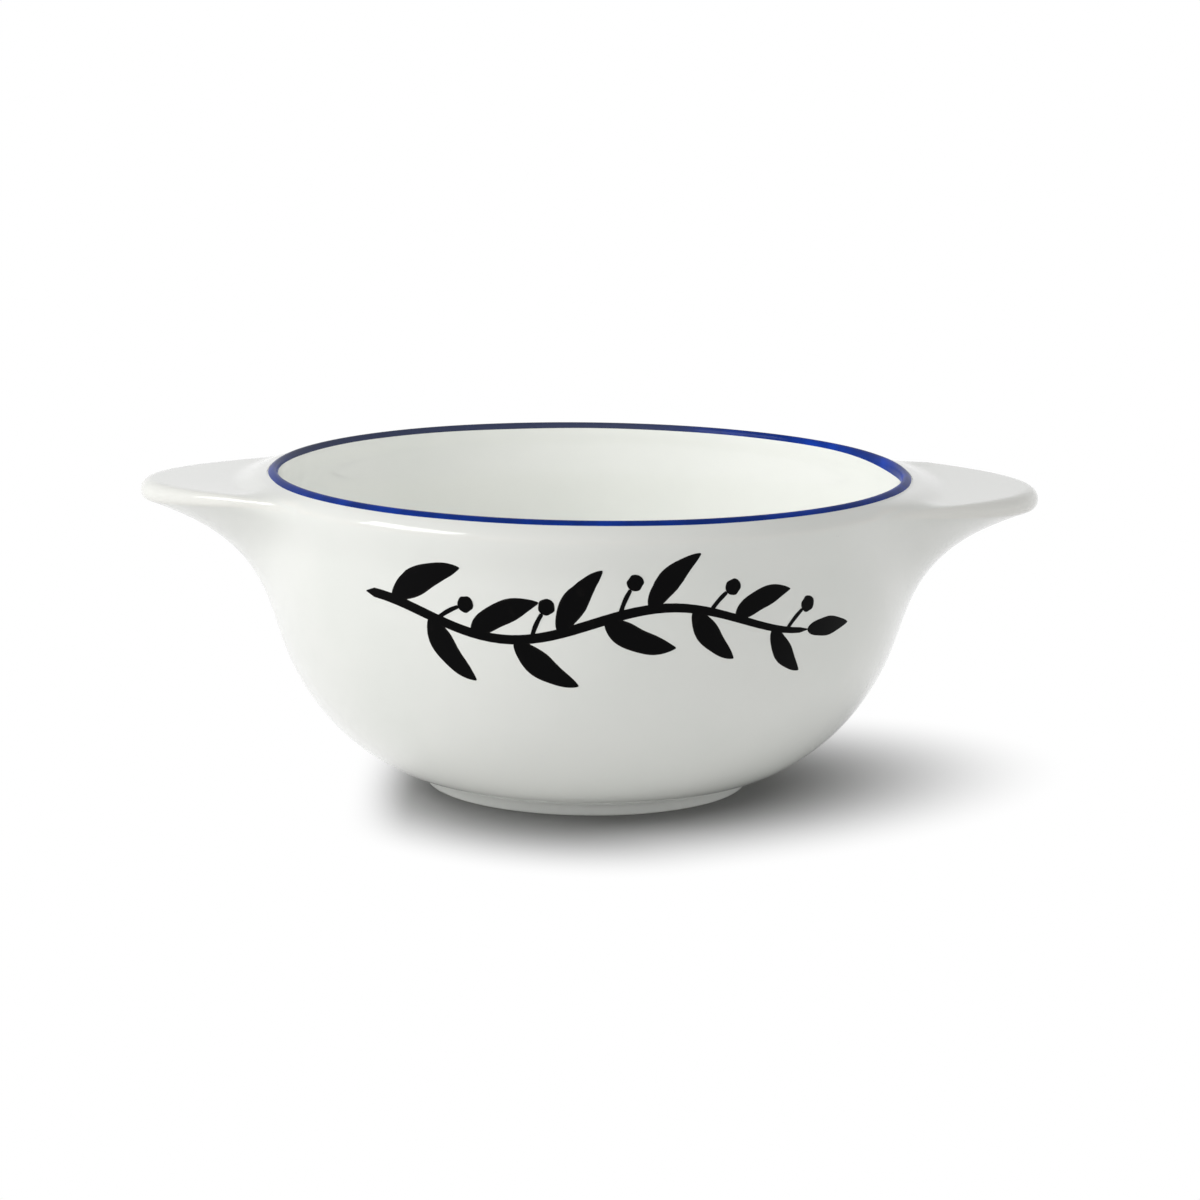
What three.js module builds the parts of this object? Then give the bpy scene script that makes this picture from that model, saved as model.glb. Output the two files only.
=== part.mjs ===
// Earthenware breakfast bowl with two ears, in millimetres, +Z up.
// The origin is the centre of the plane that the foot ring rests on, and the ears lie along X.
//
// A potter makes it from four pieces of clay: the bowl, its foot ring and two ears. Each ear and the
// foot are luted on with slip, so each joint has a thin layer of slip between its two faces. A painted
// line covers the crest of the lip.

import * as THREE from 'three';

// Bowl: heights and radii
const HEIGHT = 63.5; // resting plane to the top of the painted crest
const LIP_RADIUS = 65.7; // widest point of the everted lip
const LIP_DROP = 3.5; // crest down to that widest point
const CREST_INSET = 3.2; // widest point in to the crest line
const LIP_ROUNDING = 1.3; // exponent of the lip's outer curve: 2 is an ellipse, 1 a bevel
const NECK_DROP = 9; // widest point down to the neck under the lip
const NECK_INSET = 1.4; // widest point in to the neck
const BELLY_POWER = 2.3; // how late the wall turns in on its way down
const BELLY_FULLNESS = 0.63; // how round it turns at the base
const WALL = 4; // thickness of wall and floor

// Foot ring
const FOOT_HEIGHT = 2.8; // resting plane to the underside of the bowl
const FOOT_RADIUS = 32.3; // outside of the ring
const FOOT_WIDTH = 4.6; // outside to inside of the ring
const FOOT_ROUNDING = 0.6; // sponged edges at the resting face
const BASE_STEP = 0.6; // the bowl's base stands this far out over the ring

// Ears
const EAR_REACH = 23.6; // tip beyond the lip's widest point
const EAR_HALF_ANGLE = 45; // degrees of the rim that each side of an ear runs out over
const EAR_TAPER = 4; // power of the cosine that shapes the ear in plan
const EAR_EDGE = 2.4; // radius of the rounded edge
const EAR_DROP = 4.7; // crest down to the middle of that edge at the tip
const EAR_EDGE_TURN = 155; // degrees that the rounded edge turns from the top face to the underside
const EAR_WEB = 32; // how far under its edge the ear's underside runs out into the wall
const EAR_HOLLOW = 3; // power of the hollow curve of the underside
const EAR_ROOT = 47; // degrees up the lip's outer curve where the ear's top face starts
const EAR_RAMP_RUN = 4.5; // where the top face starts to climb to the root: how far out
const EAR_RAMP_DROP = 0.9; // and how far down
const EAR_ARCH = 0.5; // how the depth of the underside shrinks with the reach towards the sides
const EAR_LEAST = 0.04; // share of the reach at which an ear's thin sides end

// Slip, paint and the hairline between fired faces
const SLIP = 0.3;
const PAINT = 0.3;
const HAIRLINE = 0.15;
const SLIP_MARGIN = 1; // degrees that the slip stops short of an ear's sides
const PAINT_OUTSIDE = 56; // degrees up the lip's outer curve where the painted line starts
const PAINT_INSIDE = 49; // degrees down the inside of the lip where it ends

// Facets
const AROUND = 60;
const BELLY_STEPS = 11;
const NECK_STEPS = 4;
const LIP_STEPS = 4;
const EAR_SIDE_STEPS = 13;
const EAR_SIDE_SPACING = 1.5; // above 1, sections lie closer together at the tip
const EAR_UNDER_STEPS = 8;
const EAR_UNDER_SPACING = 1.6; // above 1, points lie closer together under the lip
const EAR_EDGE_STEPS = 5;
const EAR_TOP_STEPS = 4;
const SLIP_STEPS = 18;

// Levels and radii that follow from the sizes above
const CREST_LEVEL = HEIGHT - PAINT - HAIRLINE;
const LIP_LEVEL = CREST_LEVEL - LIP_DROP;
const NECK_LEVEL = LIP_LEVEL - NECK_DROP;
const CREST_RADIUS = LIP_RADIUS - CREST_INSET;
const NECK_RADIUS = LIP_RADIUS - NECK_INSET;
const BASE_RADIUS = FOOT_RADIUS + BASE_STEP;
const TIP_RADIUS = LIP_RADIUS + EAR_REACH;
const EDGE_LEVEL = CREST_LEVEL - EAR_DROP;

const radians = THREE.MathUtils.degToRad;
const lerp = THREE.MathUtils.lerp;
const point = (r, z) => new THREE.Vector2(r, z);

// steps + 1 values of a function of a share from 0 to 1
function sample(steps, f) {
  return Array.from({ length: steps + 1 }, (_, k) => f(k / steps));
}

// Radius of the wall's outside at a height: a full belly below the neck, a flare to the lip above it
function wallRadius(z) {
  if (z > NECK_LEVEL) {
    const rise = (z - NECK_LEVEL) / NECK_DROP;
    return lerp(NECK_RADIUS, LIP_RADIUS, THREE.MathUtils.smoothstep(rise, 0, 1));
  }
  const depth = Math.min(1, (NECK_LEVEL - z) / (NECK_LEVEL - FOOT_HEIGHT));
  return lerp(BASE_RADIUS, NECK_RADIUS, (1 - depth ** BELLY_POWER) ** BELLY_FULLNESS);
}

// A point at some distance out from the wall's outside, square to it; a minus distance is inside
function wallPoint(z, out) {
  const h = 0.001;
  const slope = (wallRadius(z + h) - wallRadius(z)) / h;
  const length = Math.hypot(1, slope);
  return point(wallRadius(z) + out / length, z - (out * slope) / length);
}

// Outer curve of the lip, from its widest point at 0 degrees up to the crest at 90
function lipCurve(degrees) {
  const along = Math.cos(radians(degrees)) ** (2 / LIP_ROUNDING);
  const up = Math.sin(radians(degrees)) ** (2 / LIP_ROUNDING);
  return point(CREST_RADIUS + CREST_INSET * along, LIP_LEVEL + LIP_DROP * up);
}

// The same curve moved out square to itself
function lipPoint(degrees, out) {
  const ahead = lipCurve(Math.min(90, degrees + 0.5));
  const tangent = ahead.sub(lipCurve(Math.max(0, degrees - 0.5))).normalize();
  return lipCurve(degrees).addScaledVector(point(tangent.y, -tangent.x), out);
}

// Inside of the lip, an ellipse from the crest at 0 degrees down to the inner wall at 90
function innerLipPoint(degrees, out) {
  const width = WALL - CREST_INSET;
  const s = Math.sin(radians(degrees));
  const c = Math.cos(radians(degrees));
  const normal = point(-s / width, c / LIP_DROP).normalize();
  return point(CREST_RADIUS - width * s, LIP_LEVEL + LIP_DROP * c).addScaledVector(normal, out);
}

// Heights down the wall from the lip's widest point to the base, closer together near the base
function wallHeights() {
  const flare = sample(NECK_STEPS, (t) => lerp(LIP_LEVEL, NECK_LEVEL, t));
  const belly = sample(BELLY_STEPS, (t) => lerp(NECK_LEVEL, FOOT_HEIGHT, Math.sin((t * Math.PI) / 2)));
  return [...flare, ...belly.slice(1)];
}

// A closed profile of radius and height, turned about Z
function revolve(profile) {
  const geometry = new THREE.LatheGeometry(profile, AROUND);
  return geometry.rotateX(Math.PI / 2);
}

function bowlGeometry() {
  const heights = wallHeights();
  const outside = heights.map((z) => wallPoint(z, 0)).reverse();
  const inside = heights.map((z) => wallPoint(z, -WALL));
  const lip = sample(LIP_STEPS, (t) => lipPoint(90 * t, 0));
  const innerLip = sample(LIP_STEPS, (t) => innerLipPoint(90 * t, 0));
  const axis = [point(0, FOOT_HEIGHT + WALL)];
  return revolve([
    point(0, FOOT_HEIGHT),
    ...outside,
    ...lip.slice(1),
    ...innerLip.slice(1),
    ...inside.slice(1),
    ...axis,
  ]);
}

// A ring with a rounded lower edge on both sides
function footGeometry() {
  const top = FOOT_HEIGHT - SLIP;
  const inner = FOOT_RADIUS - FOOT_WIDTH;
  const e = FOOT_ROUNDING;
  const corner = (r, side) => sample(3, (t) => {
    const a = radians(90 * t);
    return point(r + side * e * (1 - Math.sin(a)), e * (1 - Math.cos(a)));
  });
  const outerCorner = corner(FOOT_RADIUS, -1);
  const innerCorner = corner(inner, 1).reverse();
  const start = point(inner, top);
  return revolve([start, ...innerCorner, ...outerCorner, point(FOOT_RADIUS, top), start]);
}

// The flat layer of slip on top of the foot ring
function footSlipGeometry() {
  const outer = FOOT_RADIUS - HAIRLINE;
  const inner = FOOT_RADIUS - FOOT_WIDTH + HAIRLINE;
  const low = FOOT_HEIGHT - SLIP;
  const start = point(inner, FOOT_HEIGHT);
  return revolve([start, point(inner, low), point(outer, low), point(outer, FOOT_HEIGHT), start]);
}

// The painted line: a thin saddle over the crest, from the outside of the lip to its inside
function paintGeometry() {
  const saddle = (out) => {
    const outside = sample(LIP_STEPS, (t) => lipPoint(lerp(PAINT_OUTSIDE, 90, t), out));
    const inside = sample(LIP_STEPS, (t) => innerLipPoint(PAINT_INSIDE * t, out));
    return [...outside, ...inside.slice(1)];
  };
  const face = saddle(HAIRLINE + PAINT);
  const back = saddle(HAIRLINE).reverse();
  return revolve([...face, ...back, face[0]]);
}

// How far an ear stands out at an angle from its middle, as a share of its reach
function earShare(degrees) {
  const turn = Math.min(1, Math.abs(degrees) / EAR_HALF_ANGLE);
  return Math.cos((turn * Math.PI) / 2) ** EAR_TAPER;
}

// Where the ear's thin sides end: the angle at which its share has fallen to the least
function earEndAngle() {
  return (EAR_HALF_ANGLE * Math.acos(EAR_LEAST ** (1 / EAR_TAPER))) / (Math.PI / 2);
}

// Thickness of the slip under an ear: pressed thinner towards the ear's sides
function slipLayer(degrees) {
  return SLIP * Math.sqrt(earShare(degrees));
}

// The line on the bowl that an ear is luted to, at an angle from the ear's middle and moved out from
// the bowl's face. It runs from low on the wall up to the root on the lip, and is deepest in the middle
function seatLine(degrees, out) {
  const low = EDGE_LEVEL - EAR_WEB * earShare(degrees) ** EAR_ARCH;
  const under = sample(EAR_UNDER_STEPS, (t) => {
    return wallPoint(lerp(LIP_LEVEL, low, (1 - t) ** EAR_UNDER_SPACING), out);
  });
  const edge = sample(EAR_EDGE_STEPS, (t) => lipPoint((EAR_ROOT / 2) * t, out));
  const top = sample(EAR_TOP_STEPS, (t) => lipPoint((EAR_ROOT / 2) * (1 + t), out));
  return [...under, ...edge.slice(1), ...top.slice(1)];
}

// The rounded edge at the tip, by degrees from straight up
function edgePoint(degrees) {
  const a = radians(degrees);
  return point(TIP_RADIUS - EAR_EDGE * (1 - Math.sin(a)), EDGE_LEVEL + EAR_EDGE * Math.cos(a));
}

// Section of an ear at its full reach over a seat line: the hollow underside, the rounded edge and
// the top face, with as many points as the seat line and the same two ends
function earLine(seat) {
  const lowest = edgePoint(EAR_EDGE_TURN);
  const foot = seat[0];
  const root = seat[seat.length - 1];
  const under = sample(EAR_UNDER_STEPS, (t) => {
    const rise = 1 - (1 - t) ** EAR_UNDER_SPACING;
    const z = lerp(foot.y, lowest.y, rise);
    const swell = lowest.x - wallRadius(lowest.y) + wallRadius(foot.y) - foot.x;
    return point(foot.x + wallRadius(z) - wallRadius(foot.y) + swell * rise ** EAR_HOLLOW, z);
  });
  const edge = sample(EAR_EDGE_STEPS, (t) => edgePoint(EAR_EDGE_TURN * (1 - t)));
  const start = edgePoint(0);
  const ramp = point(root.x + EAR_RAMP_RUN, root.y - EAR_RAMP_DROP);
  const half = point(lerp(start.x, ramp.x, 0.5), start.y);
  const face = new THREE.CubicBezierCurve(start, half, ramp, root);
  const top = sample(EAR_TOP_STEPS, (t) => face.getPoint(t));
  return [foot, ...under.slice(1), ...edge.slice(1), ...top.slice(1, -1), root];
}

// Fills a closed loop of points from its two ends inwards, as triangles of their numbers
function zip(count) {
  const triangles = [];
  for (let a = 0, b = count - 1; b - a > 1; a += 1, b -= 1) {
    triangles.push([a, a + 1, b]);
    if (b - a > 2) {
      triangles.push([a + 1, b - 1, b]);
    }
  }
  return triangles;
}

// Joins closed sections in planes through Z, each { angle, loop }, into one solid with capped ends
function loft(sections) {
  const count = sections[0].loop.length;
  const positions = [];
  for (const { angle, loop } of sections) {
    for (const p of loop) {
      positions.push(p.x * Math.cos(angle), p.x * Math.sin(angle), p.y);
    }
  }
  const faces = [];
  for (let i = 0; i + 1 < sections.length; i += 1) {
    for (let j = 0; j < count; j += 1) {
      const a = i * count + j;
      const b = i * count + ((j + 1) % count);
      faces.push(a, a + count, b, b, a + count, b + count);
    }
  }
  const last = (sections.length - 1) * count;
  for (const [a, b, c] of zip(count)) {
    faces.push(a, b, c, last + a, last + c, last + b);
  }
  const geometry = new THREE.BufferGeometry();
  geometry.setAttribute('position', new THREE.Float32BufferAttribute(positions, 3));
  geometry.setIndex(faces);
  geometry.computeVertexNormals();
  return geometry;
}

// An ear about +X: its section shrinks from full reach at the middle to the seat line along the rim
function earGeometry() {
  const end = earEndAngle();
  const sections = sample(2 * EAR_SIDE_STEPS, (t) => {
    const side = 2 * t - 1;
    const degrees = end * Math.sign(side) * Math.abs(side) ** EAR_SIDE_SPACING;
    const seat = seatLine(degrees, HAIRLINE + slipLayer(degrees) + HAIRLINE);
    const full = earLine(seat);
    const face = seat.map((p, k) => p.clone().lerp(full[k], earShare(degrees)));
    return { angle: radians(degrees), loop: [...face, ...seat.slice(1, -1).reverse()] };
  });
  return loft(sections);
}

// The layer of slip under an ear, a little short of the ear's own outline
function earSlipGeometry() {
  const end = earEndAngle() - SLIP_MARGIN;
  const sections = sample(SLIP_STEPS, (t) => {
    const degrees = lerp(-end, end, t);
    const back = seatLine(degrees, HAIRLINE).slice(1, -1);
    const face = seatLine(degrees, HAIRLINE + slipLayer(degrees)).slice(1, -1);
    return { angle: radians(degrees), loop: [...face, ...back.reverse()] };
  });
  return loft(sections);
}

// Materials: pale glazed clay, raw slip and cobalt
const glazedClay = new THREE.MeshStandardMaterial({ color: 0xe6e8e2, roughness: 0.14, metalness: 0 });
const slip = new THREE.MeshStandardMaterial({ color: 0xd9cfc0, roughness: 0.8, metalness: 0 });
const cobalt = new THREE.MeshStandardMaterial({ color: 0x10358c, roughness: 0.12, metalness: 0 });

function piece(name, geometry, material) {
  const mesh = new THREE.Mesh(geometry, material);
  mesh.name = name;
  return mesh;
}

// An ear and its slip, turned together about Z
function earGroup(side, turn) {
  const group = new THREE.Group();
  group.add(piece(`${side}_ear`, earGeometry(), glazedClay));
  group.add(piece(`${side}_ear_slip`, earSlipGeometry(), slip));
  group.rotation.z = turn;
  return group;
}

const bowl = new THREE.Group();
bowl.add(piece('bowl_wall', bowlGeometry(), glazedClay));
bowl.add(piece('foot_ring', footGeometry(), glazedClay));
bowl.add(piece('foot_slip', footSlipGeometry(), slip));
bowl.add(piece('rim_line', paintGeometry(), cobalt));
bowl.add(earGroup('right', 0));
bowl.add(earGroup('left', Math.PI));

export default bowl;
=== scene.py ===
# %% [markdown]
# A glazed breakfast bowl
# The bowl is one fired object: a turned bowl, a foot ring and two ears, luted together with slip and
# covered by one skin of white glaze. The frame holds those pieces as plain facets. This lesson gives
# each of them the fine surface that the glaze shows, then the glaze itself, the painted line, the
# light and the camera.

import bpy
import numpy as np
from mathutils import Matrix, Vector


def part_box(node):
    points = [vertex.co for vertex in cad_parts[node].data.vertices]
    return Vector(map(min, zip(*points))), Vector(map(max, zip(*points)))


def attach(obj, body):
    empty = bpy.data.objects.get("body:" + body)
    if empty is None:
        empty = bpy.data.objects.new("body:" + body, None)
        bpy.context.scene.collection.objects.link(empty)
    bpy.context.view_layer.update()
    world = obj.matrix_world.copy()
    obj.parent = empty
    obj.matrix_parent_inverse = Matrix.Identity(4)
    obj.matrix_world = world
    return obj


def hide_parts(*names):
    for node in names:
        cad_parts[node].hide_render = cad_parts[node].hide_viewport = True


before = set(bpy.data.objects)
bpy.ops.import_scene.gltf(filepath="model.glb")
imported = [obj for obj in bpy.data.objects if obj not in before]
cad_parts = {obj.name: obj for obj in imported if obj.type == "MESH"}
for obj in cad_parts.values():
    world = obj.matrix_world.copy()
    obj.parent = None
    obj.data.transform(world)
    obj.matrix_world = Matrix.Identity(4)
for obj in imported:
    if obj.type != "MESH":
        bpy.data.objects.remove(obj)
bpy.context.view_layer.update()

print("frame nodes:", ", ".join(sorted(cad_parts)))

# %% [markdown]
# Sizes
# The frame already holds the real sizes, so the large ones are read from its boxes. What a box can't
# tell, such as how round the belly is, is written in millimetres with the step that needs it. Blender
# works in metres, so points are scaled once, when a mesh is made.

# %% Sizes
MM = 0.001
LINE_THICK = 0.16


def corners(node):
    """Lowest and highest corner of a node of the frame, in millimetres."""
    low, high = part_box(node)
    return np.array(low) / MM, np.array(high) / MM


wall_low, wall_high = corners("bowl_wall")
_, foot_high = corners("foot_ring")
_, ear_high = corners("right_ear")
_, paint_high = corners("rim_line")

BASE_LEVEL = wall_low[2]
TOP_LEVEL = wall_high[2]
CREST_LEVEL = paint_high[2] - LINE_THICK
LIP_RADIUS = wall_high[1]
FOOT_RADIUS = foot_high[1]
TIP_RADIUS = ear_high[0]
print(f"lip radius {LIP_RADIUS:.1f} mm, crest {CREST_LEVEL:.1f} mm, ear tip {TIP_RADIUS:.1f} mm")

# %% [markdown]
# The turned profile
# A bowl is turned, so one line of radius and height says all of its shape. It could be drawn as a curve
# and spun. Here it is a formula of the height, because ears and paint ask for the wall's radius at any
# height. Below the neck the outside is a full belly, a power of the depth. Above the neck it flares to
# the lip. The lip's crest is a rounded bevel outside and a quarter of an ellipse inside, and the inside
# of the wall keeps one distance from the outside.

# %% The turned profile
LIP_DROP = 3.5
CREST_INSET = 3.2
LIP_ROUNDING = 1.3
NECK_DROP = 9.0
NECK_INSET = 1.4
BELLY_POWER = 2.3
BELLY_FULLNESS = 0.63
BASE_STEP = 0.6
WALL = 4.0

LIP_LEVEL = CREST_LEVEL - LIP_DROP
NECK_LEVEL = LIP_LEVEL - NECK_DROP
CREST_RADIUS = LIP_RADIUS - CREST_INSET
NECK_RADIUS = LIP_RADIUS - NECK_INSET
BASE_RADIUS = FOOT_RADIUS + BASE_STEP


def blend(a, b, share):
    """a where share is 0, b where it is 1, and a straight mix between."""
    return a + (b - a) * share


def smooth_rise(x):
    """0 below 0, 1 above 1, and the cubic 3x^2 - 2x^3 between."""
    x = np.clip(x, 0.0, 1.0)
    return x * x * (3.0 - 2.0 * x)


def wall_radius(z):
    """Outside radius at a height: base + (neck - base) * (1 - depth^p)^q below the neck, and a smooth
    flare above it."""
    depth = np.clip((NECK_LEVEL - z) / (NECK_LEVEL - BASE_LEVEL), 0.0, 1.0)
    belly = blend(BASE_RADIUS, NECK_RADIUS, (1.0 - depth**BELLY_POWER) ** BELLY_FULLNESS)
    flare = blend(NECK_RADIUS, LIP_RADIUS, smooth_rise((z - NECK_LEVEL) / NECK_DROP))
    return np.where(z > NECK_LEVEL, flare, belly)


def inner_wall(z):
    """Points one wall inside the outside at height z, square to it: outside - wall * normal."""
    step = 0.001
    slope = (wall_radius(z + step) - wall_radius(z)) / step
    length = np.hypot(1.0, slope)
    return np.stack([wall_radius(z) - WALL / length, z + WALL * slope / length], -1)


def outer_lip(degrees):
    """The lip's outer curve from its widest point at 0 to the crest at 90: cosine and sine to one
    power."""
    a = np.radians(degrees)
    power = 2.0 / LIP_ROUNDING
    r = CREST_RADIUS + CREST_INSET * np.abs(np.cos(a)) ** power
    return np.stack([r, LIP_LEVEL + LIP_DROP * np.sin(a) ** power], -1)


def inner_lip(degrees):
    """A quarter of an ellipse from the crest at 0 down to the inner wall at 90."""
    a = np.radians(degrees)
    r = CREST_RADIUS - (WALL - CREST_INSET) * np.sin(a)
    return np.stack([r, LIP_LEVEL + LIP_DROP * np.cos(a)], -1)


print(f"belly at half height: radius {float(wall_radius(CREST_LEVEL / 2)):.1f} mm")

# %% [markdown]
# The ears
# Each ear is a flat lug, level with the rim, that flows out of the wall. A lug that is made by itself and
# joined on would leave a crease all round, so an ear is worked out from the wall's own line. Seen from
# the side it is a section: a hollow underside that leaves the wall without a step, a round edge, and a
# level top face that climbs to the lip's roll in a soft ramp. Going along the rim, the section shrinks
# back into the line on the wall where it starts. So an ear needs no outline of its own: its plan is how
# the share of the section falls with the angle.

# %% The ears
EAR_HALF_ANGLE = 45.0
EAR_TAPER = 4.0
EAR_EDGE = 2.4
EAR_EDGE_TURN = 131.0
EAR_DROP = 4.85
EAR_WEB = 34.2
EAR_ARCH = 0.4
EAR_HOLLOW = 3.7
EAR_ROOT = 53.0
EAR_ROLL = 0.5
EAR_RAMP = 6.6
RAMP_LEAST = 1.5
SWELLING_SHARE = 0.12
LEVEL_SPAN = 0.40
UNDER_SAMPLES = 220
UNDER_SPACING = 1.6
EDGE_SAMPLES = 60
TOP_SAMPLES = 160
EDGE_LEVEL = TOP_LEVEL - EAR_DROP


def ear_share(angle):
    """How much of its full reach an ear has at an angle about Z: a power of a cosine, for both ears."""
    off = np.abs((angle + 90.0) % 180.0 - 90.0)
    turn = np.clip(off / EAR_HALF_ANGLE, 0.0, 1.0)
    return np.cos(turn * np.pi / 2.0) ** EAR_TAPER


def ear_low(share):
    """Height on the wall where an ear's underside starts: lowest in the middle of the ear."""
    return EDGE_LEVEL - EAR_WEB * share**EAR_ARCH


def seat_line(low):
    """The part of the turned profile that an ear covers, one line for each starting height."""
    t = np.linspace(0.0, 1.0, UNDER_SAMPLES)
    z = blend(LIP_LEVEL, low[:, None], (1.0 - t) ** UNDER_SPACING)
    under = np.stack([wall_radius(z), z], -1)
    lip = [
        outer_lip(np.linspace(0.0, EAR_ROOT / 2.0, EDGE_SAMPLES)),
        outer_lip(np.linspace(EAR_ROOT / 2.0, EAR_ROOT, TOP_SAMPLES)),
    ]
    lip = np.broadcast_to(np.concatenate(lip), (len(low), EDGE_SAMPLES + TOP_SAMPLES, 2))
    return np.concatenate([under, lip], 1)


def ear_line(low):
    """An ear's section at full reach: wall radius + swell * rise^hollow under it, an arc, and a straight
    top."""
    turn = np.radians(np.linspace(EAR_EDGE_TURN, 0.0, EDGE_SAMPLES))
    centre = [TIP_RADIUS - EAR_EDGE, EDGE_LEVEL]
    edge = np.stack([np.sin(turn), np.cos(turn)], -1) * EAR_EDGE + centre
    rise = 1.0 - (1.0 - np.linspace(0.0, 1.0, UNDER_SAMPLES)) ** UNDER_SPACING
    z = blend(low[:, None], edge[0, 1], rise)
    swell = edge[0, 0] - wall_radius(edge[0, 1])
    under = np.stack([wall_radius(z) + swell * rise**EAR_HOLLOW, z], -1)
    top = blend(edge[-1], outer_lip(EAR_ROOT), np.linspace(0.0, 1.0, TOP_SAMPLES)[:, None])
    upper = np.concatenate([edge, top])
    upper = np.broadcast_to(upper, (len(low), EDGE_SAMPLES + TOP_SAMPLES, 2))
    return np.concatenate([under, upper], 1)


def ear_section(share, reach):
    """Ears mixed from the wall's line and the full ear. Their tops stay level with the lip for the width
    of its roll, then fall by a smooth step, at one distance from the lip all along the ear."""
    low = ear_low(share)
    ear = blend(seat_line(low), ear_line(low), (reach * share)[:, None, None])
    top = ear[:, -TOP_SAMPLES:]
    start, root = top[:, :1], top[:, -1:]
    away = top[..., 0] - root[..., 0]
    ramp = np.clip(away[:, :1] - EAR_ROLL, RAMP_LEAST, EAR_RAMP)
    stepped = blend(root[..., 1], start[..., 1], smooth_rise((away - EAR_ROLL) / ramp))
    whole = reach * smooth_rise((share - SWELLING_SHARE) / LEVEL_SPAN)[:, None]
    top[..., 1] = blend(top[..., 1], stepped, whole)
    return ear


print(f"ear underside starts {float(ear_low(np.array(1.0))):.1f} mm up the wall")

# %% [markdown]
# Even steps and a sponge
# Formulas leave sharp places where two stretches of a profile meet. A potter rounds such places in the
# raw clay with a wet sponge. A bevel would need to know where they are, so the sponge is copied instead:
# a profile is cut into even steps, and each of its points moves towards its neighbours.


# %% Even steps and a sponge
def lengths(lines):
    """Length along each line up to each of its points."""
    steps = np.linalg.norm(np.diff(lines, axis=1), axis=-1)
    return np.concatenate([np.zeros((len(lines), 1)), np.cumsum(steps, 1)], 1)


def at_lengths(lines, known, wanted):
    """Points at the wanted lengths along lines whose points lie at the known lengths. Each line gets its
    own stretch of one long ruler, so that a single sorted search serves all of them."""
    ruler = np.arange(len(lines))[:, None] * (known.max() + 1.0)
    flat_known = (known + ruler).ravel()
    flat_wanted = (np.minimum(wanted, known[:, -1:]) + ruler).ravel()
    flat_points = lines.reshape(-1, lines.shape[-1])
    axes = [np.interp(flat_wanted, flat_known, line) for line in flat_points.T]
    return np.stack(axes, -1).reshape(*wanted.shape, lines.shape[-1])


def sponge(lines, passes, step=1):
    """Each point moves to the mean of itself, twice, and two neighbours some steps off, as often as
    asked."""
    for _ in range(passes):
        middle = (lines[:, : -2 * step] + 2.0 * lines[:, step:-step] + lines[:, 2 * step :]) / 4.0
        lines = np.concatenate([lines[:, :step], middle, lines[:, -step:]], 1)
    return lines


lip_length = lengths(outer_lip(np.linspace(0.0, 90.0, EDGE_SAMPLES))[None])[0, -1]
print(f"lip: {lip_length:.1f} mm from its widest point over to its crest")

# %% [markdown]
# One skin
# The glaze covers wall, lip and ears as one skin, and the eye would find any seam in it at once, because
# the glaze is a mirror. So the whole skin is worked out first as one grid: for each angle a profile from
# the middle of the underside, up the outside, over the ear or past it, over the lip and down to the
# middle of the floor. Each profile is sponged. Where an ear is only a swelling on the rim it is sponged
# more, and its edge dissolves into the shoulder. The same is done without ears, for the wall behind them.

# %% One skin
COLUMNS = 400
FINE_STEPS = 1300
SECTION_SAMPLES = 200
WALL_SPACING = 2.5
SHOULDER_SHARE = 0.2
SPONGE_PASSES = 10
SOFT_PASSES = 20
SOFT_STEP = 4
SOFT_MARGIN = 4.0
SOFT_START = 0.05
SOFT_SPAN = 0.28
ROWS = {"base": 12, "wall": 46, "ear": 112, "lip": 26, "inside": 42, "floor": 12}


def edge_softness(share):
    """How much more an ear is sponged: 0 on the plain rim and on the full ear, 1 where it is just a
    swelling."""
    return smooth_rise(share / SOFT_START) * (1.0 - smooth_rise((share - SWELLING_SHARE) / SOFT_SPAN))


def profile_sections(angle, reach):
    """The profile at each angle in its six stretches, each an array of angle, point and (radius, height).
    Ears stand out by their reach, from 0 for a plain bowl to 1."""
    share = ear_share(angle)
    t = np.linspace(0.0, 1.0, SECTION_SAMPLES)
    every = lambda line: np.broadcast_to(line, (len(angle), *line.shape))
    base = np.stack([BASE_RADIUS * t, np.full_like(t, BASE_LEVEL)], -1)
    z = blend(BASE_LEVEL, ear_low(share)[:, None], t**WALL_SPACING)
    lip = np.concatenate([outer_lip(blend(EAR_ROOT, 90.0, t)), inner_lip(90.0 * t)])
    shoulder, belly = SHOULDER_SHARE * t, blend(SHOULDER_SHARE, 1.0, np.sin(t * np.pi / 2.0))
    inside = inner_wall(blend(LIP_LEVEL, BASE_LEVEL, np.concatenate([shoulder, belly])))
    floor = np.stack([inside[-1, 0] * (1.0 - t), np.full_like(t, inside[-1, 1])], -1)
    return {
        "base": every(base),
        "wall": np.stack([wall_radius(z), z], -1),
        "ear": ear_section(share, reach),
        "lip": every(lip),
        "inside": every(inside),
        "floor": every(floor),
    }


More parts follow.
